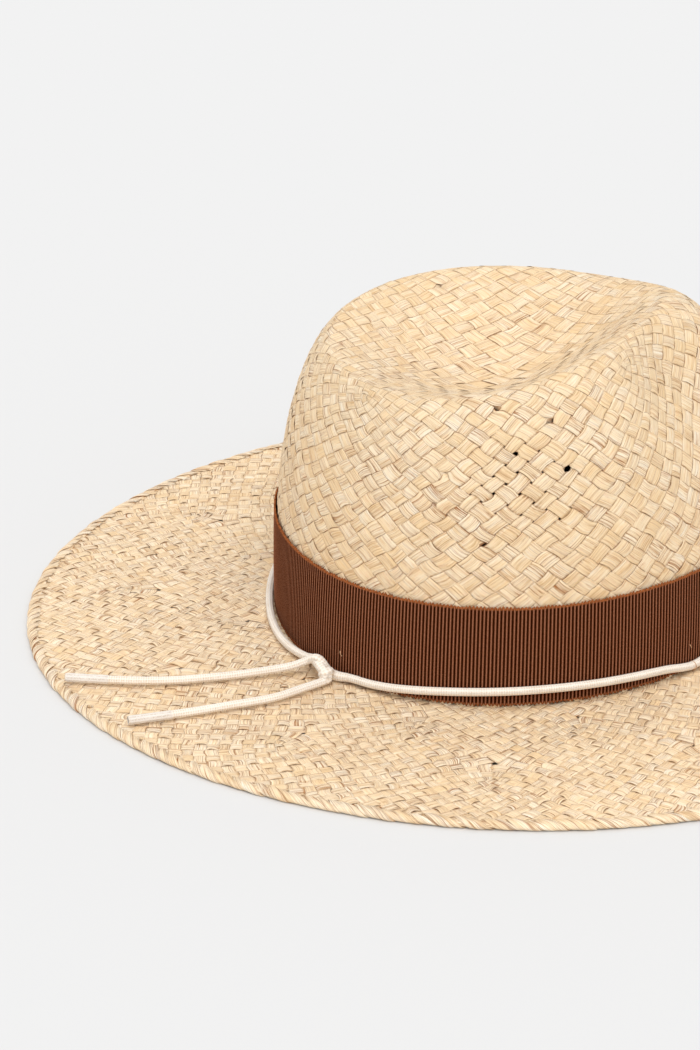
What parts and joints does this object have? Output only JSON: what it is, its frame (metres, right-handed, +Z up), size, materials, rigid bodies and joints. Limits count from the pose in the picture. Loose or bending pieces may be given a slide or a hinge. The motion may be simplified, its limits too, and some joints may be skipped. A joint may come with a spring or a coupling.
{
  "type": "straw sun hat",
  "caption": "Woven straw sun hat with a dented teardrop crown, wide flat brim, plaited edge, brown ribbon band and a knotted pale cord with two loose tails.",
  "frame": {"origin": "middle of the brim's resting plane, on the flat underside of the plaited edge", "axes": "+Z up through the crown, the front of the hat toward -Y, the wearer's right toward -X"},
  "size_m": [0.3566, 0.39, 0.132],
  "materials": {
    "straw": "matt woven natural straw",
    "ribbon": "ribbed grosgrain, low sheen",
    "cord": "matt braided cotton",
    "sweatband": "soft cotton tape",
    "thread": "matt thread"
  },
  "bodies": {
    "root": {"straw_crown": "straw", "straw_brim": "straw", "brim_edge_plait": "straw", "crown_seam_thread": "thread", "sweatband": "sweatband", "sweatband_seam_thread": "thread", "grosgrain_ribbon": "ribbon", "ribbon_tacks": "thread", "trim_cord": "cord", "cord_knot": "cord", "cord_tail_upper": "cord", "cord_tail_lower": "cord", "tail_tip_upper": "cord", "tail_tip_lower": "cord", "cord_tacks": "thread"}
  },
  "joints": []
}
